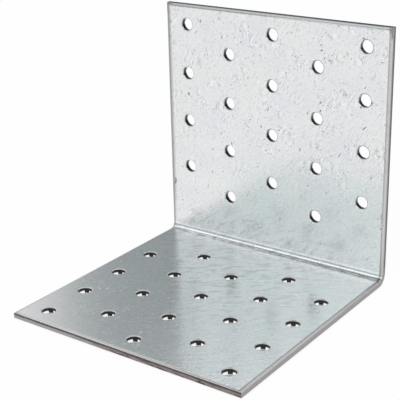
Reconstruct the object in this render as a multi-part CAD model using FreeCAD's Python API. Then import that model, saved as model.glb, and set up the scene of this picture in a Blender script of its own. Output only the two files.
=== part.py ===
import FreeCAD, Part
import math
import os

# Driving dimensions in millimetres

base_depth = 100.0  # outer face of the upright to the base's free edge
upright_height = 100.0  # underside of the base to the upright's free edge
plate_width = 100.0  # along the bend
sheet = 2.5  # thickness of the steel
bend_radius = 2.0  # inside of the bend
hole_diameter = 5.0  # punched nail holes
hole_pitch = 20.0  # from column to column, and from hole to hole along a column
edge_margin = 8.0  # free edge to the first holes, and the least left to the sides and the bend
edge_roll = 0.5  # radius that shearing leaves round the inner face
rim_break = 0.4  # width and depth of the eased rim that punching leaves round each hole

# Places that follow from them. X runs along the bend, the base lies on Z = 0
# and the origin is under the middle of the piece.

front = -base_depth / 2
back = base_depth / 2
half_width = plate_width / 2
inner_base = sheet
inner_back = back - sheet
bend_y = inner_back - bend_radius
bend_z = inner_base + bend_radius

along_x = FreeCAD.Vector(1, 0, 0)
along_z = FreeCAD.Vector(0, 0, 1)


def in_section(y, z):
    return FreeCAD.Vector(-half_width, y, z)


def on_bend(radius):
    """Middle of the bend's arc of this radius."""
    reach = radius * math.sqrt(0.5)
    return in_section(bend_y + reach, bend_z - reach)


def folded_sheet():
    """The bent blank: its L-shaped section, drawn out along the bend."""
    outer_radius = bend_radius + sheet
    under_front = in_section(front, 0)
    under_bend = in_section(bend_y, 0)
    behind_bend = in_section(back, bend_z)
    behind_top = in_section(back, upright_height)
    inside_top = in_section(inner_back, upright_height)
    above_bend = in_section(inner_back, bend_z)
    before_bend = in_section(bend_y, inner_base)
    inside_front = in_section(front, inner_base)
    outline = [
        Part.LineSegment(under_front, under_bend),
        Part.Arc(under_bend, on_bend(outer_radius), behind_bend),
        Part.LineSegment(behind_bend, behind_top),
        Part.LineSegment(behind_top, inside_top),
        Part.LineSegment(inside_top, above_bend),
        Part.Arc(above_bend, on_bend(bend_radius), before_bend),
        Part.LineSegment(before_bend, inside_front),
        Part.LineSegment(inside_front, under_front),
    ]
    section = Part.Face(Part.Wire([curve.toShape() for curve in outline]))
    return section.extrude(along_x * plate_width)


def faces_inward(face):
    """Whether a face of the folded sheet looks into the angle."""
    surface = face.Surface
    if isinstance(surface, Part.Cylinder):
        return math.isclose(surface.Radius, bend_radius)
    middle = face.CenterOfMass
    on_base = math.isclose(middle.z, inner_base)
    on_upright = math.isclose(middle.y, inner_back)
    return on_base or on_upright


def roll_edges(plate):
    """Round the sheared outline on the side that the shears pressed down."""
    inner_edges = [edge for face in plate.Faces if faces_inward(face) for edge in face.Edges]
    outline = [
        edge for edge in inner_edges
        if sum(edge.isSame(other) for other in inner_edges) == 1
    ]
    return plate.makeFillet(edge_roll, outline)


def punch():
    """One hole's cutter, standing on the inner face and pointing down through the sheet.

    It widens at the inner face, where the punch drew the metal in with it.
    """
    radius = hole_diameter / 2
    mouth = radius + rim_break
    outline = [
        FreeCAD.Vector(0, 0, sheet),
        FreeCAD.Vector(mouth, 0, sheet),
        FreeCAD.Vector(mouth, 0, 0),
        FreeCAD.Vector(radius, 0, -rim_break),
        FreeCAD.Vector(radius, 0, -2 * sheet),
        FreeCAD.Vector(0, 0, -2 * sheet),
        FreeCAD.Vector(0, 0, sheet),
    ]
    profile = Part.Face(Part.makePolygon(outline))
    return profile.revolve(FreeCAD.Vector(), along_z, 360)


def hole_places(leg):
    """Place along the bend and distance from the free edge, for each hole of a leg.

    Every other column starts half a pitch further in, so the nails are staggered.
    """
    side_columns = math.floor((half_width - edge_margin) / hole_pitch)
    last = leg - sheet - bend_radius - edge_margin
    for column in range(-side_columns, side_columns + 1):
        first = edge_margin + hole_pitch / 2 * (column % 2)
        rows = 1 + math.floor((last - first) / hole_pitch)
        for row in range(rows):
            yield column * hole_pitch, first + row * hole_pitch


def hole_cutters():
    """The same punched pattern in both legs."""
    cutters = []
    for x, inset in hole_places(base_depth):
        cutter = punch()
        cutter.translate(FreeCAD.Vector(x, front + inset, inner_base))
        cutters.append(cutter)
    for x, inset in hole_places(upright_height):
        cutter = punch()
        cutter.rotate(FreeCAD.Vector(), along_x, 90)
        cutter.translate(FreeCAD.Vector(x, inner_back, upright_height - inset))
        cutters.append(cutter)
    return Part.makeCompound(cutters)


angle_bracket = roll_edges(folded_sheet()).cut(hole_cutters())

os.makedirs("parts", exist_ok=True)
angle_bracket.exportStep("parts/angle_bracket.step")
print("angle_bracket", len(angle_bracket.Solids), "solid", round(angle_bracket.Volume, 1), "mm3")
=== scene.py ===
import math

import bmesh
import bpy
from mathutils import Matrix, Vector


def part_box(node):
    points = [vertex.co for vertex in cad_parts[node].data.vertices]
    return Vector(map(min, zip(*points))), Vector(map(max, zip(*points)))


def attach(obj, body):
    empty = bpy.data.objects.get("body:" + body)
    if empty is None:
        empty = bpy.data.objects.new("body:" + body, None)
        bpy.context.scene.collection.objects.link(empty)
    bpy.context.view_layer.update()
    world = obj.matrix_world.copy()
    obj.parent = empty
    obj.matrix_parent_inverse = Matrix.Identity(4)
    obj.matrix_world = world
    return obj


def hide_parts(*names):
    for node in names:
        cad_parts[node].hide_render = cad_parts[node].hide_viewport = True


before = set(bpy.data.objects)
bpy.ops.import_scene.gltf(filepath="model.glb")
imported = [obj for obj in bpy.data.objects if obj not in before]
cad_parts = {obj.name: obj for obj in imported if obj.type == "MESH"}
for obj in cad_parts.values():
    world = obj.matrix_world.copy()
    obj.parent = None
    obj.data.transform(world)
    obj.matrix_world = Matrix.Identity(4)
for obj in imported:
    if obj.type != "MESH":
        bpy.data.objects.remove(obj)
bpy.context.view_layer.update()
mm = 0.001
print("frame loaded")


# shader maths

class Wire:  # an output socket that can be added, multiplied and so on
    def __init__(self, graph, socket):
        self.graph = graph
        self.socket = socket

    def sums(self, operation, *values):
        return self.graph.add("ShaderNodeMath", {"operation": operation}, dict(enumerate(values)))

    def __add__(self, other):
        return self.sums("ADD", self, other)

    def __sub__(self, other):
        return self.sums("SUBTRACT", self, other)

    def __rsub__(self, other):
        return self.sums("SUBTRACT", other, self)

    def __mul__(self, other):
        return self.sums("MULTIPLY", self, other)

    def __abs__(self):
        return self.sums("ABSOLUTE", self)

    def atLeast(self, other):
        return self.sums("MAXIMUM", self, other)

    __radd__ = __add__
    __rmul__ = __mul__


class Graph:  # the node tree of one material or world
    def __init__(self, owner):
        owner.use_nodes = True
        self.tree = owner.node_tree
        self.tree.nodes.clear()

    def add(self, kind, settings=None, sockets=None, output=0):
        node = self.tree.nodes.new(kind)
        for name, value in (settings or {}).items():
            setattr(node, name, value)
        for name, value in (sockets or {}).items():
            if isinstance(value, Wire):
                self.tree.links.new(value.socket, node.inputs[name])
            else:
                node.inputs[name].default_value = value
        return Wire(self, node.outputs[output]) if node.outputs else None

    def part(self, vector, axis):  # one number of a vector
        return self.add("ShaderNodeSeparateXYZ", {}, {"Vector": vector}, axis)

    def vectors(self, operation, *values, output=0):
        settings = {"operation": operation}
        return self.add("ShaderNodeVectorMath", settings, dict(enumerate(values)), output)

    def towards(self, vector, side):  # how far a vector reaches to a side
        return self.vectors("DOT_PRODUCT", vector, side, output="Value")

    def step(self, value, start, end, low=0.0, high=1.0):  # smooth ramp between two values
        settings = {"interpolation_type": "SMOOTHSTEP"}
        limits = {"Value": value, "From Min": start, "From Max": end, "To Min": low, "To Max": high}
        return self.add("ShaderNodeMapRange", settings, limits)

    def band(self, value, start, full, fade, end):  # 1 from full to fade, 0 outside start and end
        return self.step(value, start, full) * self.step(value, end, fade)

    def tint(self, factor, first, second):  # mix of two colours
        return self.add("ShaderNodeMix", {"data_type": "RGBA"}, {0: factor, 6: first, 7: second}, 2)

    def noise(self, place, size, detail=2.0, rough=0.5):  # cloudy value, size is one cloud across
        sockets = {"Vector": place, "Scale": 1 / size, "Detail": detail, "Roughness": rough}
        return self.add("ShaderNodeTexNoise", {}, sockets)

    def stretch(self, place, scale, turn=0.0):  # pattern coordinates, turned in the sheet and stretched
        sockets = {"Vector": place, "Rotation": (0, 0, math.radians(turn)), "Scale": scale}
        return self.add("ShaderNodeMapping", {"vector_type": "TEXTURE"}, sockets)

    def wobble(self, place, size, reach):  # the same coordinates, pushed about by clouds of a size
        clouds = self.add("ShaderNodeTexNoise", {}, {"Vector": place, "Scale": 1 / size}, "Color")
        centred = self.vectors("SUBTRACT", clouds, (0.5, 0.5, 0.5))
        return self.vectors("MULTIPLY_ADD", centred, (reach, reach, reach), place)

    def specks(self, place, cell, radius, share):  # soft dots in a share of the cells
        sockets = {"Vector": place, "Scale": 1 / cell}
        distance = self.add("ShaderNodeTexVoronoi", {}, sockets, "Distance")
        chance = self.add("ShaderNodeTexVoronoi", {}, sockets, "Color")
        pick = self.add("ShaderNodeSeparateColor", {}, {"Color": chance}, "Red")
        dot = self.step(distance, radius / cell, 0.6 * radius / cell)
        return dot * self.step(pick, 1 - share, 1 - 0.3 * share)

    def metal(self, colour, roughness, height=None):  # the finished surface, with bumps of a height
        sockets = {"Base Color": colour, "Metallic": 1.0, "Roughness": roughness}
        if height is not None:
            sockets["Normal"] = self.add("ShaderNodeBump", {}, {"Height": height, "Distance": 1.0})
        surface = self.add("ShaderNodeBsdfPrincipled", {}, sockets)
        self.add("ShaderNodeOutputMaterial", {}, {"Surface": surface})


def opaque(red, green, blue):
    return (red, green, blue, 1.0)


def sheetDepth(graph):  # 0 at the inner face of the sheet, 1 at the outer
    return graph.add("ShaderNodeAttribute", {"attribute_name": "depth"}, output="Fac")


# finishes, painted light and shade among them: a ramp is given as its start and end, and the values
# there if they aren't 0 and 1

zincMarking = {
    "crowd": 9 * mm,  # patches with more pits
    "crowdRamp": (0.40, 0.6, 0.25, 1.0),
    "worn": 12 * mm,  # patches with steep scratches, slanted ones lie between them
    "wornRamp": (0.47, 0.60),
    "ragged": (0.7 * mm, 0.7 * mm),  # size and reach of the wobble
    "pit": (1.3 * mm, 0.40 * mm, 0.3),  # spacing, radius and share of the places
    "pitStrength": 0.75,
    "bigPit": (4.4 * mm, 0.55 * mm, 0.6),
    "bow": (6 * mm, 3 * mm),
    "steepNick": (2.3 * mm, 0.34 * mm, 0.45),
    "steepNickForm": ((3.4, 1.0, 1.0), 66),  # stretch, and turn in degrees
    "lowNick": (3.0 * mm, 0.34 * mm, 0.4),
    "lowNickForm": ((2.8, 1.0, 1.0), 14),
    "steepScratch": ((2.8 * mm, 0.36 * mm, 1.0), 58),
    "steepRamp": (0.62, 0.68),
    "slantedScratch": ((2.2 * mm, 0.34 * mm, 1.0), 33),
    "slantedRamp": (0.64, 0.70, 0.0, 0.8),
    "scratchStrength": 0.55,
    "pimple": ((2.7 * mm, 1.7 * mm, 1.0), 55),
    "pimpleBow": (7 * mm, 7 * mm),
    "pimpleFlank": (0.2, -0.2, 0.0),  # from one flank to the other, in pimple sizes; it sets the side the painted light comes from
    "pimplePatch": 9 * mm,
    "pimpleRamp": (0.44, 0.62, 0.2, 1.0),
}


def zincMarks(graph, place, sheet):  # pits, nicks and short scratches
    look = zincMarking
    crowd = graph.step(graph.noise(sheet, look["crowd"]), *look["crowdRamp"])
    worn = graph.step(graph.noise(sheet, look["worn"]), *look["wornRamp"])
    uneven = graph.wobble(place, *look["ragged"])
    pits = graph.specks(uneven, *look["pit"]) * crowd * look["pitStrength"]
    pits = pits + graph.specks(uneven, *look["bigPit"])
    bent = graph.wobble(sheet, *look["bow"])
    steepNick = graph.specks(graph.stretch(bent, *look["steepNickForm"]), *look["steepNick"])
    lowNick = graph.specks(graph.stretch(bent, *look["lowNickForm"]), *look["lowNick"])
    steep = graph.noise(graph.stretch(bent, *look["steepScratch"]), 1.0, 1)
    slanted = graph.noise(graph.stretch(bent, *look["slantedScratch"]), 1.0, 1)
    scratch = graph.step(steep, *look["steepRamp"]) * worn
    scratch = scratch + graph.step(slanted, *look["slantedRamp"]) * (1 - worn)
    return (pits + steepNick + lowNick).atLeast(scratch * look["scratchStrength"])


def pimpleLightAndShade(graph, sheet):  # painted light and shade: pale and dark flanks of the coat's grains, in patches
    look = zincMarking
    grains = graph.stretch(graph.wobble(sheet, *look["pimpleBow"]), *look["pimple"])
    moved = graph.vectors("ADD", grains, look["pimpleFlank"])
    flanks = graph.noise(grains, 1.0, 3, 0.6) - graph.noise(moved, 1.0, 3, 0.6)
    return flanks * graph.step(graph.noise(sheet, look["pimplePatch"]), *look["pimpleRamp"])


bendShadingAndHighlight = {
    "bendPatches": (4 * mm, 1.5 * mm, 1.0),  # patches along the bend that make its painted lines uneven
    "bendPatchRamp": (0.42, 0.60, 0.15, 0.65),
    "footShade": (-2.6 * mm, -1.1 * mm, -0.9 * mm, -0.5 * mm),  # painted shade line where the base starts, in the bend's crease
    "foldShade": (0.45 * mm, 0.7 * mm, 0.95 * mm, 1.2 * mm),  # painted shade line in the bend
    "crestHighlight": (1.3 * mm, 1.5 * mm, 2.0 * mm, 2.3 * mm),  # painted highlight line above it
    "leftDentShade": (-48.9 * mm, -48.6 * mm, -47.2 * mm, -46.5 * mm),  # painted shade in the left dent; the same band darkens the sheet behind it to the outer face
    "leftDentShadeDepth": (0.03, 0.09, 0.0, 0.7),
}


def bendLayers(graph, sheet, alongBend, upBlank, depth):  # masks, each with the colour it puts on
    look = bendShadingAndHighlight
    bendPatches = graph.step(graph.noise(graph.stretch(sheet, look["bendPatches"]), 1.0), *look["bendPatchRamp"])
    footShade = graph.band(upBlank, *look["footShade"])
    foldShade = graph.band(upBlank, *look["foldShade"])
    crestHighlight = graph.band(upBlank, *look["crestHighlight"])
    leftDentShade = graph.band(alongBend, *look["leftDentShade"]) * graph.step(depth, *look["leftDentShadeDepth"])
    # painted shade lines in the bend's crease, uneven in patches, and a painted highlight line above
    # them
    return [
        (footShade * bendPatches + foldShade * (0.3 + bendPatches * 0.4), "dirtAndShade"),
        (crestHighlight * (0.5 + bendPatches), "bareAndHighlight"),
        # painted shade in the left dent and the band behind it
        (leftDentShade, "dirtAndShade"),
    ]


edgeTonesAndShade = {
    "inner": (1.0, 0.9),  # depth in the sheet: all but the outer face
    "rim": (0.001, 0.01),  # edges that are pulled down
    "end": (92 * mm, 94 * mm),  # distance from the bend
    "endRim": (0.02, 0.05, 0.0, 0.5),
    "topRim": (0.085, 0.11, 0.0, 0.8),
    "right": (48.2 * mm, 48.6 * mm),  # along the bend
    "left": (-47.3 * mm, -48.8 * mm),
    "crease": (0.10, 0.03),  # where the right side starts to slope
}


def edgeLayers(graph, alongBend, fromBend, depth, upright):  # the same for rims, ends and sides
    look = edgeTonesAndShade
    inner = graph.step(depth, *look["inner"])
    rim = graph.step(depth, *look["rim"]) * inner
    end = graph.step(fromBend, *look["end"]) * inner
    right = graph.step(alongBend, *look["right"]) * rim
    left = graph.step(alongBend, *look["left"]) * inner
    crease = graph.step(depth, *look["crease"]) * (0.7 - upright * 0.3)
    return [
        (rim * (0.75 - upright * 0.3), "edge"),
        (graph.step(depth, *look["endRim"]) * end, "edge"),
        # painted shade on the outer part of the upright's top roll
        (graph.step(depth, *look["topRim"]) * upright * end, "topEdgeShade"),
        # painted shade on the rolled sides, with a darker line where the right side starts to slope
        (right * (0.2 + crease), "slitEdgeShade"),
        (left * (0.12 + upright * 0.4), "slitEdgeShade"),
    ]


zincFinish = {
    "zinc": opaque(0.81, 0.815, 0.82),
    "cool": opaque(0.785, 0.79, 0.82),
    "green": opaque(0.775, 0.81, 0.80),
    # dark and pale zinc for real marks and mottle, also used as painted shade and painted highlight
    "dirtAndShade": opaque(0.22, 0.225, 0.24),
    "bareAndHighlight": opaque(0.97, 0.97, 0.97),
    "edge": opaque(0.53, 0.49, 0.485),  # darker, warmer rims and ends
    # near black: painted shade for the upright's top roll
    "topEdgeShade": opaque(0.20, 0.198, 0.20),
    "slitEdgeShade": opaque(0.28, 0.275, 0.275),  # painted shade on the rolled sides, most on the upright's left, where the roll lies in shadow
    "uprightFrom": (0.0, 20 * mm),  # distance from the bend
    "wornSide": (0.81, 0.587, 0.0),  # towards the worn part of the base
    "wornFrom": (-21 * mm, -7 * mm),
    "roughFrom": (25 * mm, 55 * mm, 0.6, 1.0),  # the upright is smoother towards the bend
    "rippleFrom": (-20 * mm, 15 * mm, 0.25, 1.0),  # and to the left
    "patch": 16 * mm,
    "coolRamp": (0.42, 0.62),
    "greenPatch": 27.2 * mm,
    "greenRamp": (0.5, 0.66, 0.0, 0.6),
    "mottle": 1.1 * mm,
    "dullMottle": (0.48, 0.30, 0.0, 0.10),
    "paleMottle": (0.54, 0.70, 0.0, 0.16),
    "flankHighlight": (0.02, 0.14, 0.0, 0.6),  # painted highlight on one flank of each pimple
    # painted shade on the other flank
    "flankShade": (-0.02, -0.14, 0.0, 0.35),
    "highlightShift": (0.35 * mm, -0.30 * mm, -0.30 * mm),  # from a mark to its painted highlight, a pale copy of it moved a little to one side
    "highlightStrength": 0.8,
    "markStrength": 0.85,
    "wipe": ((7 * mm, 2.2 * mm, 1.0), 36),  # faint streaks on the base: stretch, turn in degrees
    "wipeBow": (6 * mm, 3 * mm),
    "wipeRamp": (0.48, 0.64, 0.0, 0.3),
    "wipedFrom": (-75 * mm, -30 * mm, 0.3, 1.0),  # stronger towards the bend
    "wipedTo": (48 * mm, 5 * mm, 0.3, 1.0),  # weaker to the right
    "roughness": 0.15,
    "bendRough": (5 * mm, 2.5 * mm, 0.0, 0.07),  # the bend is duller
    "ripple": ((6.5 * mm, 1.9 * mm, 1.0), 36),
    "rippleHeight": 0.09 * mm,
    "grain": 0.55 * mm,
    "grainHeight": 0.004 * mm,
    "markDepth": 0.008 * mm,
    "bumpFade": (2 * mm, 9 * mm),  # no bumps at the bend
    "bumpRim": (0.02, 0.002),  # or on the rims
}


def zincCoat():
    look = zincFinish
    material = bpy.data.materials.new("zincCoat")
    graph = Graph(material)
    place = graph.add("ShaderNodeTexCoord", output="Object")
    sheet = graph.add("ShaderNodeUVMap", {"uv_map": "blank"})
    depth = sheetDepth(graph)
    alongBend = graph.part(place, "X")
    upBlank = graph.part(sheet, "Y")  # below 0 on the base
    fromBend = abs(upBlank)
    upright = graph.step(upBlank, *look["uprightFrom"])
    base = 1 - upright

    worn = graph.step(graph.towards(place, look["wornSide"]), *look["wornFrom"])
    rough = graph.step(upBlank, *look["roughFrom"]) * upright
    rippled = graph.step(alongBend, *look["rippleFrom"]) * rough + (0.1 + worn * 0.9) * base
    coarse = rough + base * rippled * 0.5
    patches = graph.noise(place, look["patch"], 3, 0.6)
    green = graph.noise(place, look["greenPatch"])
    fine = graph.noise(place, look["grain"], 2, 0.6)
    mottle = graph.noise(place, look["mottle"], 2, 0.65)
    pimpleShading = pimpleLightAndShade(graph, sheet) * coarse
    marks = zincMarks(graph, place, sheet)
    # the marks again, moved a little, for their painted highlight
    highlightPlace = graph.vectors("ADD", place, look["highlightShift"])
    highlightSheet = graph.vectors("ADD", sheet, look["highlightShift"])
    markHighlights = zincMarks(graph, highlightPlace, highlightSheet)
    wavy = graph.stretch(graph.wobble(sheet, *look["wipeBow"]), *look["wipe"])
    wiped = graph.step(graph.noise(wavy, 1.0, 3, 0.6), *look["wipeRamp"]) * worn * base
    wiped = wiped * graph.step(upBlank, *look["wipedFrom"]) * graph.step(alongBend, *look["wipedTo"])

    layers = [
        (graph.step(patches, *look["coolRamp"]) * (0.25 + upright * 0.75), "cool"),
        (graph.step(green, *look["greenRamp"]), "green"),
        (graph.step(mottle, *look["dullMottle"]), "dirtAndShade"),
        (graph.step(mottle, *look["paleMottle"]), "bareAndHighlight"),
        # painted light and shade on the pimple flanks
        (graph.step(pimpleShading, *look["flankHighlight"]), "bareAndHighlight"),
        (graph.step(pimpleShading, *look["flankShade"]), "dirtAndShade"),
        # painted highlight beside each mark, on one side
        (markHighlights * look["highlightStrength"], "bareAndHighlight"),
        (marks * coarse * look["markStrength"], "dirtAndShade"),
        (wiped, "dirtAndShade"),
    ]
    layers += bendLayers(graph, sheet, alongBend, upBlank, depth)
    layers += edgeLayers(graph, alongBend, fromBend, depth, upright)
    colour = look["zinc"]
    for mask, paint in layers:
        colour = graph.tint(mask, colour, look[paint])

    ripple = graph.noise(graph.stretch(sheet, *look["ripple"]), 1.0, 2, 0.45) * rippled
    roughness = look["roughness"] + patches * 0.06 + fine * 0.04 + marks * 0.10 + markHighlights * 0.04
    roughness = roughness + graph.step(fromBend, *look["bendRough"])
    height = ripple * look["rippleHeight"] + fine * look["grainHeight"] - marks * look["markDepth"]
    height = height * graph.step(fromBend, *look["bumpFade"]) * graph.step(depth, *look["bumpRim"])
    graph.metal(colour, roughness, height)
    return material


cutFinish = {
    "smooth": opaque(0.085, 0.08, 0.08),
    "torn": opaque(0.40, 0.385, 0.39),
    "tornFrom": (0.56, 0.68),  # depth in the sheet
    "slitShift": 0.26,  # the base's slit sides are torn from higher up
    "wave": 6 * mm,  # of the line between the smooth and the torn part
    "waveReach": 0.3,
    "rust": opaque(0.30, 0.26, 0.252),
    "darkRust": opaque(0.10, 0.08, 0.076),
    "rustFrom": (-24 * mm, 4 * mm),  # along the bend
    "rustSpread": 40 * mm,
    "streak": (5 * mm, 1 * mm, 0.8 * mm),
    "streakRamp": (0.48, 0.60),
    "slitSmooth": opaque(0.60, 0.60, 0.61),
    "slitTorn": opaque(0.38, 0.365, 0.37),
    # darker copies of the two above for the upright's sides: painted shade
    "slitUprightSmoothShaded": opaque(0.35, 0.33, 0.34),
    "slitUprightTornShaded": opaque(0.18, 0.165, 0.175),
    "slitFacing": (0.4, 0.8),
    "topEnd": opaque(0.09, 0.087, 0.09),
    "uprightFrom": (3 * mm, 9 * mm),  # height
    "grit": 0.5 * mm,
    "gritHeight": 0.05 * mm,
    "speck": opaque(0.55, 0.53, 0.52),
    "speckRamp": (0.54, 0.72, 0.0, 0.35),
    "roughness": 0.32,
    "tornRoughness": 0.2,  # added to it
}


def shearedSteel():
    look = cutFinish
    material = bpy.data.materials.new("shearedSteel")
    graph = Graph(material)
    place = graph.add("ShaderNodeTexCoord", output="Object")
    facing = graph.part(graph.add("ShaderNodeTexCoord", output="Normal"), "X")
    slitSide = graph.step(facing * facing, *look["slitFacing"])
    upright = graph.step(graph.part(place, "Z"), *look["uprightFrom"])
    wave = graph.noise(place, look["wave"], 3, 0.6)
    grit = graph.noise(place, look["grit"], 2, 0.6)
    cutDepth = sheetDepth(graph) + wave * look["waveReach"]
    cutDepth = cutDepth + slitSide * (1 - upright) * look["slitShift"]
    torn = graph.step(cutDepth, *look["tornFrom"])

    streak = graph.noise(graph.stretch(place, look["streak"]), 1.0, 3, 0.6)
    rust = graph.tint(graph.step(streak, *look["streakRamp"]), look["rust"], look["darkRust"])
    alongBend = graph.part(place, "X") + (wave - 0.5) * look["rustSpread"]
    rust = graph.tint(graph.step(alongBend, *look["rustFrom"]), look["torn"], rust)
    end = graph.tint(torn, look["smooth"], rust)
    end = graph.tint(upright, end, look["topEnd"])
    # the upright's cut sides take the darker copies: painted shade
    slitSmooth = graph.tint(upright, look["slitSmooth"], look["slitUprightSmoothShaded"])
    slitTorn = graph.tint(upright, look["slitTorn"], look["slitUprightTornShaded"])
    colour = graph.tint(slitSide, end, graph.tint(torn, slitSmooth, slitTorn))
    colour = graph.tint(graph.step(grit, *look["speckRamp"]), colour, look["speck"])
    graph.metal(colour, look["roughness"] + torn * look["tornRoughness"], grit * look["gritHeight"])
    return material


boreFinish = {
    # near black: painted shade on the holes' upper walls
    "smooth": opaque(0.03, 0.03, 0.032),
    "torn": opaque(0.93, 0.935, 0.94),
    "tornFrom": (0.59, 0.72),  # depth in the sheet
    "shadeSides": ((0.45, -0.893, 0.0), (0.8, 0.0, -0.6)),  # of the base's and the upright's holes: painted dark reflection on the walls facing these sides
    "shadeFrom": (0.92, 0.985),  # there the near-black smooth zone reaches right through the wall
    "uprightFrom": (3 * mm, 6 * mm, 0.0, 0.3),  # and a little further down all round in the upright's holes: more painted shade
    "grit": 0.6 * mm,
    "gritReach": 0.2,
    "roughness": 0.06,
    "gritRoughness": 0.1,  # added to it
}


def punchedSteel():
    look = boreFinish
    material = bpy.data.materials.new("punchedSteel")
    graph = Graph(material)
    place = graph.add("ShaderNodeTexCoord", output="Object")
    outward = graph.add("ShaderNodeTexCoord", output="Normal")
    grit = graph.noise(place, look["grit"], 2, 0.6)
    # painted shade: the near-black smooth zone reaches further down in the upright's holes and right
    # through on the walls facing the listed sides
    shadeReach = graph.step(graph.part(place, "Z"), *look["uprightFrom"])
    for side in look["shadeSides"]:
        shadeReach = shadeReach + graph.step(graph.towards(outward, side), *look["shadeFrom"])
    torn = graph.step(sheetDepth(graph) + grit * look["gritReach"] - shadeReach, *look["tornFrom"])
    colour = graph.tint(torn, look["smooth"], look["torn"])
    graph.metal(colour, look["roughness"] + grit * look["gritRoughness"])
    return material


# the bracket: one leg is made flat, its rear edge is spun round the bend, and a mirrored copy stands up

bracket = {
    "thickness": 2.5 * mm,
    "bendRadius": 2.0 * mm,  # inside
    "bendSteps": 12,
    "holeRadius": 2.5 * mm,
    "pitch": 20 * mm,
    "edgeMargin": 8 * mm,  # free edge to the first holes
    "cell": 1 * mm,  # one quad of the flat faces
    "patch": 10,  # quads across the square that a hole is set in
    "border": 3 * mm,  # grid to cut edge
    "sideRoll": 1.3 * mm,  # inner side of the slit sides, where the edge is pulled down
    "sideSlope": 0.8,  # 0.5 for a round, 1 for a straight slope
    "frontRoll": 0.9 * mm,  # inner side of the base's sheared end, a round
    "topRoll": 1.6 * mm,  # and of the upright's
    "rollDepth": 0.45 * mm,
    "rimWidth": 0.45 * mm,  # inner side of the punched holes
    "rimDepth": 0.35 * mm,
    "roundSteps": 6,
    "smoothCut": 1.0 * mm,  # depth where the smooth part of a cut ends
    "flare": 0.14 * mm,  # holes widen where the slug broke out
    "outerBreak": 0.1 * mm,  # small bevel on the outer faces
    "dents": (  # in the upright's sides: along the bend, above the base's underside, depth
        (-48.5 * mm, 24.0 * mm, 0.40 * mm),
        (48.7 * mm, 24.4 * mm, 0.30 * mm),
        (48.8 * mm, 28.0 * mm, 0.12 * mm),
    ),
    "dentSize": (1.1 * mm, 1.8 * mm),  # half its width and height
    "dentCuts": 3,
    "weld": 0.001 * mm,
    "sharpAngle": 38,
}

low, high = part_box("angle_bracket")
flatLength = (high.y - low.y) - bracket["thickness"] - bracket["bendRadius"]
bendAxis = Vector((0, low.y + flatLength, low.z + bracket["thickness"] + bracket["bendRadius"]))
cellsAcross = round((high.x - low.x - 2 * bracket["border"]) / bracket["cell"])
cellsAlong = math.floor((flatLength - bracket["border"]) / bracket["cell"])
gridSide = cellsAcross * bracket["cell"] / 2
gridFront = low.y + bracket["border"]
gridBack = gridFront + cellsAlong * bracket["cell"]
nearly = 0.1 * bracket["cell"]  # within this, a point is on a line of the grid
level = 0.01 * nearly  # and within this, an edge is level


def holePlaces():
    columns = math.floor((high.x - bracket["edgeMargin"]) / bracket["pitch"])
    for column in range(-columns, columns + 1):
        inset = bracket["edgeMargin"] + (column % 2) * bracket["pitch"] / 2
        while inset < flatLength - bracket["edgeMargin"]:
            yield column * bracket["pitch"], low.y + inset
            inset += bracket["pitch"]


def roundOver(width, depth):  # quarter of an ellipse, as steps outwards and down
    turns = [math.pi / 2 * k / bracket["roundSteps"] for k in range(1, bracket["roundSteps"] + 1)]
    return [(width * math.sin(a), depth * (1 - math.cos(a))) for a in turns]


def edgesOf(geometry):
    return [part for part in geometry if isinstance(part, bmesh.types.BMEdge)]


def vertsOf(geometry):
    return [part for part in geometry if isinstance(part, bmesh.types.BMVert)]


def freeEdges(edges):  # of the edges that an extrusion made, those at its far end
    loose = [edge for edge in edges if edge.is_boundary]
    return [edge for edge in loose if abs(edge.verts[0].co.z - edge.verts[1].co.z) < level]


def squareToRound(offset, radius):  # a square's points go evenly round a circle
    if abs(offset.x) >= abs(offset.y):
        angle = math.pi / 4 * offset.y / offset.x + (math.pi if offset.x < 0 else 0)
    else:
        angle = math.pi / 2 - math.pi / 4 * offset.x / offset.y + (math.pi if offset.y < 0 else 0)
    return Vector((radius * math.cos(angle), radius * math.sin(angle), 0))


def setHole(bm, centre, radius):  # swaps a square of quads for a round opening, returns its edges
    half = bracket["patch"] * bracket["cell"] / 2
    inside = []
    for vert in bm.verts:
        offset = vert.co - centre
        if max(abs(offset.x), abs(offset.y)) < half - nearly and abs(offset.z) < nearly:
            inside.append(vert)
    square = {face for vert in inside for face in vert.link_faces}
    border = [edge for face in square for edge in face.edges if not set(edge.verts) & set(inside)]
    bmesh.ops.delete(bm, geom=inside, context="VERTS")
    added = bmesh.ops.extrude_edge_only(bm, edges=border)["geom"]
    for vert in vertsOf(added):
        vert.co = centre + squareToRound(vert.co - centre, radius)
    return freeEdges(edgesOf(added))


def flatLeaf(bm, height, holeRadius):  # one flat face of the leg, returns its hole rims by centre
    middle = (0, gridFront + cellsAlong * bracket["cell"] / 2, height)
    spread = Matrix.Diagonal((2 * gridSide, cellsAlong * bracket["cell"], 1, 1))
    bmesh.ops.create_grid(
        bm, x_segments=cellsAcross, y_segments=cellsAlong, size=0.5,
        matrix=Matrix.Translation(middle) @ spread,
    )
    rims = {}
    for x, y in holePlaces():
        rims[(x, y)] = setHole(bm, Vector((x, y, height)), holeRadius)
    rear = [
        edge for edge in bm.edges
        if edge.is_boundary and all(abs(v.co.y - gridBack) < nearly for v in edge.verts)
        and abs(edge.verts[0].co.z - height) < nearly
    ]
    added = bmesh.ops.extrude_edge_only(bm, edges=rear)["geom"]
    bmesh.ops.translate(bm, verts=vertsOf(added), vec=(0, bendAxis.y - gridBack, 0))
    return rims


def onOutline(vert):  # which sides of the sheet a point of its outline belongs to
    sides = []
    if abs(vert.co.x) > gridSide - nearly:
        sides.append(Vector((math.copysign(1, vert.co.x), 0, 0)))
    if vert.co.y < gridFront + nearly:
        sides.append(Vector((0, -1, 0)))
    return sides


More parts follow.
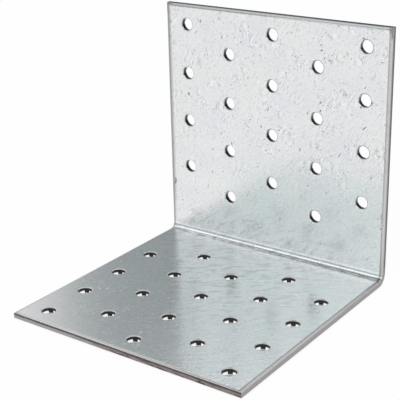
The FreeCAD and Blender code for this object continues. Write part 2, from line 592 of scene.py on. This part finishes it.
def outlineEdges(bm, height):
    found = []
    for edge in bm.edges:
        first, second = edge.verts
        if not edge.is_boundary or abs(first.co.z - height) > nearly:
            continue
        if any(side in onOutline(second) for side in onOutline(first)):
            found.append(edge)
    return found


def pushOut(bm, edges, toSide, toEnd, down):  # extrudes the outline away from the sheet
    added = bmesh.ops.extrude_edge_only(bm, edges=edges)["geom"]
    for vert in vertsOf(added):
        for side in onOutline(vert):
            vert.co += side * (toSide if side.x else toEnd)
        vert.co.z -= down
    return edgesOf(added)


def legEdges(bm, top):
    sideFlat = bracket["border"] - bracket["sideRoll"]
    endFlat = bracket["border"] - bracket["frontRoll"]
    bottom = bracket["border"] - bracket["outerBreak"]
    profile = [(sideFlat, endFlat, 0)]
    for out, down in roundOver(bracket["frontRoll"], bracket["rollDepth"]):
        sloped = bracket["sideRoll"] * (down / bracket["rollDepth"]) ** bracket["sideSlope"]
        profile.append((sideFlat + sloped, endFlat + out, down))
    profile.append((bracket["border"], bracket["border"], bracket["smoothCut"]))
    profile.append((bracket["border"], bracket["border"], bracket["thickness"] - bracket["outerBreak"]))
    profile.append((bottom, bottom, bracket["thickness"]))
    edges = outlineEdges(bm, top)
    last = (0, 0, 0)
    for point in profile:
        moves = [now - before for now, before in zip(point, last)]
        edges = freeEdges(pushOut(bm, edges, *moves))
        last = point


def holeWalls(bm, rims):
    rim = roundOver(bracket["rimWidth"], bracket["rimDepth"])
    mouth = bracket["holeRadius"] + bracket["rimWidth"]
    mouthBelow = bracket["holeRadius"] + bracket["flare"]
    profile = [(mouth - inward, down) for inward, down in rim]
    profile.append((bracket["holeRadius"], bracket["smoothCut"]))
    profile.append((mouthBelow, bracket["thickness"] - bracket["outerBreak"]))
    profile.append((mouthBelow + bracket["outerBreak"], bracket["thickness"]))
    for (x, y), edges in rims.items():
        lastRadius, lastDown = mouth, 0
        for radius, down in profile:
            added = bmesh.ops.extrude_edge_only(bm, edges=edges)["geom"]
            ring = vertsOf(added)
            size = radius / lastRadius
            bmesh.ops.scale(bm, verts=ring, vec=(size, size, 1), space=Matrix.Translation((-x, -y, 0)))
            bmesh.ops.translate(bm, verts=ring, vec=(0, 0, lastDown - down))
            edges = freeEdges(edgesOf(added))
            lastRadius, lastDown = radius, down


def dentSides(bm):
    inner = high.y - bracket["thickness"]
    wide, tall = bracket["dentSize"]
    for x, z, depth in bracket["dents"]:
        near = []
        for edge in bm.edges:
            middle = (edge.verts[0].co + edge.verts[1].co) / 2
            inside = middle.y < inner + bracket["rollDepth"]
            if inside and abs(middle.x - x) < 2 * wide and abs(middle.z - low.z - z) < 2 * tall:
                near.append(edge)
        bmesh.ops.subdivide_edges(bm, edges=near, cuts=bracket["dentCuts"], use_grid_fill=True)
        for vert in bm.verts:
            out = math.hypot((vert.co.x - x) / wide, (vert.co.z - low.z - z) / tall)
            rolled = (vert.co.y - inner) / bracket["rollDepth"]
            if out < 1 and rolled < 1:
                vert.co.y += depth * (1 - out ** 2) ** 2 * (1 - rolled)


def foldedSheet():
    bm = bmesh.new()
    top = low.z + bracket["thickness"]
    flatLeaf(bm, low.z, bracket["holeRadius"] + bracket["flare"] + bracket["outerBreak"])
    reach = bracket["border"] - bracket["outerBreak"]
    pushOut(bm, outlineEdges(bm, low.z), reach, reach, 0)
    rims = flatLeaf(bm, top, bracket["holeRadius"] + bracket["rimWidth"])
    legEdges(bm, top)
    holeWalls(bm, rims)
    bmesh.ops.remove_doubles(bm, verts=bm.verts, dist=bracket["weld"])
    print("flat leg:", len(bm.faces), "faces")
    leg = bm.verts[:] + bm.edges[:] + bm.faces[:]

    section = [edge for edge in bm.edges if edge.is_boundary]
    print("open edges at the bend:", len(section))
    ends = list({vert for edge in section for vert in edge.verts})
    copy = bmesh.ops.duplicate(bm, geom=leg)["geom"]
    bmesh.ops.spin(
        bm, geom=section + ends, cent=bendAxis, axis=(1, 0, 0), angle=math.pi / 2,
        steps=bracket["bendSteps"],
    )
    for vert in vertsOf(copy):  # the upright's end is rolled further in
        fromEnd = vert.co.y - low.y
        if fromEnd < bracket["frontRoll"] + level and vert.co.z > top - bracket["rollDepth"]:
            vert.co.y = low.y + fromEnd * bracket["topRoll"] / bracket["frontRoll"]
    swap = Matrix(((1, 0, 0, 0), (0, 0, -1, 0), (0, -1, 0, 0), (0, 0, 0, 1)))  # forwards becomes up
    standUp = Matrix.Translation(bendAxis) @ swap @ Matrix.Translation(-bendAxis)
    bmesh.ops.transform(bm, verts=vertsOf(copy), matrix=standUp)
    bmesh.ops.remove_doubles(bm, verts=bm.verts, dist=bracket["weld"])
    bmesh.ops.recalc_face_normals(bm, faces=bm.faces)
    dentSides(bm)
    print("folded sheet:", len(bm.faces), "faces, open edges", sum(e.is_boundary for e in bm.edges))
    return bm


def inSheet(point):  # distance along the unfolded sheet from the middle of the bend, and depth into it
    radius = bracket["bendRadius"]
    halfBend = radius * math.pi / 4
    y = point.y - bendAxis.y
    z = point.z - bendAxis.z
    if y < 0:
        return y - halfBend, -z - radius
    if z > 0:
        return z + halfBend, y - radius
    return (math.atan2(y, -z) - math.pi / 4) * radius, math.hypot(y, z) - radius


def dressSheet(bm, cut, bore):  # unfolded coordinates, depth through the sheet and the cut faces
    blank = bm.loops.layers.uv.new("blank")
    depth = bm.verts.layers.float.new("depth")
    for vert in bm.verts:
        vert[depth] = inSheet(vert.co)[1] / bracket["thickness"]
    rollShare = bracket["rollDepth"] / bracket["thickness"]
    for face in bm.faces:
        face.smooth = True
        for loop in face.loops:
            loop[blank].uv = (loop.vert.co.x, inSheet(loop.vert.co)[0])
        depths = [vert[depth] for vert in face.verts]
        if max(depths) > rollShare + 0.01 and min(depths) < 0.99:
            middle = face.calc_center_median()
            atSide = abs(middle.x) > gridSide
            atEnd = middle.y < gridFront or middle.z > high.z - bracket["border"]
            face.material_index = cut if atSide or atEnd else bore


def makeBracket():
    bm = foldedSheet()
    dressSheet(bm, cut=1, bore=2)  # places in the list of materials below
    mesh = bpy.data.meshes.new("angleBracket")
    bm.to_mesh(mesh)
    bm.free()
    mesh.set_sharp_from_angle(angle=math.radians(bracket["sharpAngle"]))
    for material in (zincCoat(), shearedSteel(), punchedSteel()):
        mesh.materials.append(material)
    piece = bpy.data.objects.new("bracketSheet", mesh)
    bpy.context.scene.collection.objects.link(piece)
    weights = piece.modifiers.new("evenFlats", "WEIGHTED_NORMAL")
    weights.keep_sharp = True
    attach(piece, "root")
    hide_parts("angle_bracket")
    print("bracket made")


# studio: pale floor, soft sky and one large lamp

floorLook = {
    "size": 40.0,
    "drop": 0.02 * mm,
    "colour": opaque(0.94, 0.94, 0.94),
    "glow": 0.96,  # share of the white that the camera sees without shade
    "glowInMetal": 0.97,  # the same in reflections
    "underSheet": (51 * mm, 47 * mm),  # no glow under the bracket
    "dimCorner": (-50 * mm, 47 * mm, 0.0),  # from here it is dimmer to one side, in reflections
    "dimSide": (-0.81, 0.587, 0.0),
    "dimFrom": (0.22, 0.5),
}


def paleFloor():
    look = floorLook
    material = bpy.data.materials.new("paleFloor")
    graph = Graph(material)
    camera = graph.add("ShaderNodeLightPath", output="Is Camera Ray")
    glossy = graph.add("ShaderNodeLightPath", output="Is Glossy Ray")
    through = graph.add("ShaderNodeLightPath", output="Is Transmission Ray")
    shaded = graph.add("ShaderNodeBsdfDiffuse", {}, {"Color": look["colour"]})
    white = graph.add("ShaderNodeEmission", {}, {"Strength": 1.0})
    place = graph.add("ShaderNodeTexCoord", output="Object")
    across = abs(graph.part(place, "X"))
    along = abs(graph.part(place, "Y"))
    under = graph.step(across, *look["underSheet"]) * graph.step(along, *look["underSheet"])
    fromCorner = graph.vectors("NORMALIZE", graph.vectors("SUBTRACT", place, look["dimCorner"]))
    lit = 1 - graph.step(graph.towards(fromCorner, look["dimSide"]), *look["dimFrom"])
    glow = (camera + through) * (1 - under) * look["glow"] + glossy * lit * look["glowInMetal"]
    mixed = graph.add("ShaderNodeMixShader", {}, {0: glow, 1: shaded, 2: white})
    graph.add("ShaderNodeOutputMaterial", {}, {"Surface": mixed})
    return material


def makeFloor():
    bm = bmesh.new()
    bmesh.ops.create_grid(bm, x_segments=1, y_segments=1, size=floorLook["size"] / 2)
    bmesh.ops.translate(bm, verts=bm.verts, vec=(0, 0, low.z - floorLook["drop"]))
    mesh = bpy.data.meshes.new("floor")
    bm.to_mesh(mesh)
    bm.free()
    mesh.materials.append(paleFloor())
    floor = bpy.data.objects.new("floor", mesh)
    bpy.context.scene.collection.objects.link(floor)


skyLook = {  # heights and sides are parts of a direction of length 1
    "dim": opaque(0.305, 0.343, 0.348),
    "upper": opaque(0.95, 0.98, 0.97),  # all round above the dim part
    "upperFrom": (0.55, 0.61),
    "zenith": opaque(0.22, 0.24, 0.24),
    "zenithFrom": (0.78, 0.84),
    "zenithAhead": (-0.12, 0.02),
    "windowSide": (-0.813, -0.582, 0.0),  # a broad low window at the left, brighter to the front
    "windowEdge": (0.115, 0.17),
    "windowHeight": (0.09, 0.19, 0.74, 0.80),
    "windowLeft": opaque(0.87, 0.87, 0.875),
    "windowMiddle": opaque(0.72, 0.79, 0.80),
    "middleAhead": (0.0, 0.4),
    "windowFront": opaque(1.09, 1.18, 1.165),
    "frontAhead": (0.70, 0.85),
    "windowTop": opaque(1.60, 1.66, 1.66),
    "topFrom": (0.56, 0.62),
    "topAhead": (-0.05, 0.1),
}


def makeSky():
    look = skyLook
    world = bpy.data.worlds.new("softSky")
    bpy.context.scene.world = world
    graph = Graph(world)
    direction = graph.add("ShaderNodeTexCoord", output="Generated")
    upward = graph.part(direction, "Z")
    ahead = graph.part(direction, "Y") * -1.0
    window = graph.band(upward, *look["windowHeight"])
    window = window * graph.step(graph.towards(direction, look["windowSide"]), *look["windowEdge"])
    middle = graph.step(ahead, *look["middleAhead"])
    bright = graph.tint(middle, look["windowLeft"], look["windowMiddle"])
    bright = graph.tint(graph.step(ahead, *look["frontAhead"]), bright, look["windowFront"])
    top = graph.step(upward, *look["topFrom"]) * graph.step(ahead, *look["topAhead"])
    bright = graph.tint(top, bright, look["windowTop"])
    dim = graph.tint(graph.step(upward, *look["upperFrom"]), look["dim"], look["upper"])
    overhead = graph.step(upward, *look["zenithFrom"]) * graph.step(ahead, *look["zenithAhead"])
    dim = graph.tint(overhead, dim, look["zenith"])
    light = graph.add("ShaderNodeBackground", {}, {"Color": graph.tint(window, dim, bright)})
    graph.add("ShaderNodeOutputWorld", {}, {"Surface": light})


keyLamp = {
    "place": (0.986, -0.887, 0.895),
    "size": 1.4,
    "power": 3.6,
}


def makeLamp():
    data = bpy.data.lights.new("keyLamp", "AREA")
    data.shape = "DISK"
    data.size = keyLamp["size"]
    data.energy = keyLamp["power"]
    light = bpy.data.objects.new("keyLamp", data)
    light.location = keyLamp["place"]
    light.rotation_euler = light.location.to_track_quat("Z", "Y").to_euler()
    light.visible_camera = False
    bpy.context.scene.collection.objects.link(light)


viewpoint = {
    "azimuth": 36.15,
    "elevation": 21.09,
    "roll": -1.35,
    "distance": 384.2 * mm,
    "aim": (-0.5 * mm, -0.5 * mm, 40.5 * mm),
    "lens": 95.28,
    "clipStart": 0.01,
}


def makeCamera():
    turn = math.radians(viewpoint["azimuth"])
    tilt = math.radians(viewpoint["elevation"])
    back = Vector((math.sin(turn) * math.cos(tilt), -math.cos(turn) * math.cos(tilt), math.sin(tilt)))
    data = bpy.data.cameras.new("camera")
    data.lens = viewpoint["lens"]
    data.clip_start = viewpoint["clipStart"]
    camera = bpy.data.objects.new("camera", data)
    place = Matrix.Translation(Vector(viewpoint["aim"]) + back * viewpoint["distance"])
    facing = back.to_track_quat("Z", "Y").to_matrix().to_4x4()
    roll = Matrix.Rotation(math.radians(viewpoint["roll"]), 4, "Z")
    camera.matrix_world = place @ facing @ roll
    bpy.context.scene.collection.objects.link(camera)
    bpy.context.scene.camera = camera


makeBracket()
makeFloor()
makeSky()
makeLamp()
makeCamera()
bpy.context.scene.view_settings.view_transform = "Standard"
print("studio set up")
